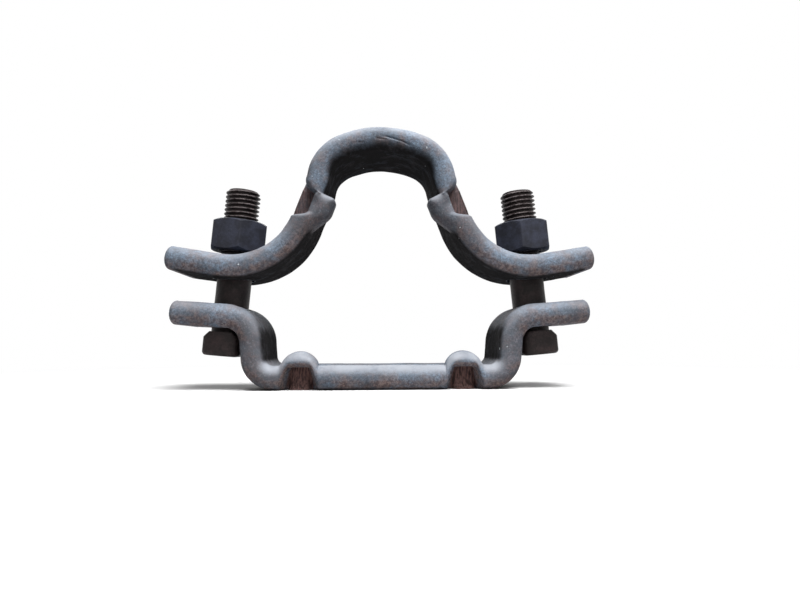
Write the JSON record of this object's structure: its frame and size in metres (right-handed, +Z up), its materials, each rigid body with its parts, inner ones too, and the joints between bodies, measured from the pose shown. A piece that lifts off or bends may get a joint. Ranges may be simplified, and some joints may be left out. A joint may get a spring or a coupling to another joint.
{
  "type": "mine arch clamp",
  "caption": "Bolted strap clamp for nested U-section mine arches: bell-shaped upper strap, flat lower strap with raised ears, pressed limit lugs, T-head bolts and hexagon nuts.",
  "frame": {"origin": "middle of the resting face, under the straight bar of the lower strap", "axes": "+X along the clamp from bolt to bolt, +Y away from the lugged edges, along the gripped section, +Z up towards the crown"},
  "size_m": [0.2862, 0.065, 0.1763],
  "materials": {
    "scaled_steel": "hot-formed steel with blue-grey mill scale and light rust",
    "black_steel": "black oxide"
  },
  "bodies": {
    "base": {"base_strap": "scaled_steel"},
    "arch": {"arch_strap": "scaled_steel"},
    "left_bolt": {"left_bolt": "black_steel"},
    "right_bolt": {"right_bolt": "black_steel"},
    "left_nut": {"left_nut": "black_steel"},
    "right_nut": {"right_nut": "black_steel"}
  },
  "joints": [
    {"name": "arch_slide", "type": "slide", "parent": "base", "child": "arch", "axis": [0, 0, 1], "range_m": [-0.00597, 0.0209]},
    {"name": "left_nut_turn", "type": "hinge", "parent": "arch", "child": "left_nut", "pos_m": [-0.10128, 0, 0.09423], "axis": [0.0906, 0, 0.9959], "range_deg": [-720, 2520]},
    {"name": "right_nut_turn", "type": "hinge", "parent": "arch", "child": "right_nut", "pos_m": [0.10128, 0, 0.09423], "axis": [-0.0906, 0, 0.9959], "range_deg": [-720, 2520]},
    {"name": "left_bolt_shift", "type": "slide", "parent": "base", "child": "left_bolt", "axis": [-1, 0, 0], "range_m": [-0.0006, 0.002]},
    {"name": "right_bolt_shift", "type": "slide", "parent": "base", "child": "right_bolt", "axis": [1, 0, 0], "range_m": [-0.0006, 0.002]}
  ],
  "couplings": [
    {"joint": "left_nut_turn", "follows": "arch_slide", "rad_per_m": 2103.1},
    {"joint": "right_nut_turn", "follows": "arch_slide", "rad_per_m": 2103.1},
    {"joint": "left_bolt_shift", "follows": "arch_slide", "ratio": 0.091007},
    {"joint": "right_bolt_shift", "follows": "arch_slide", "ratio": 0.091007}
  ]
}
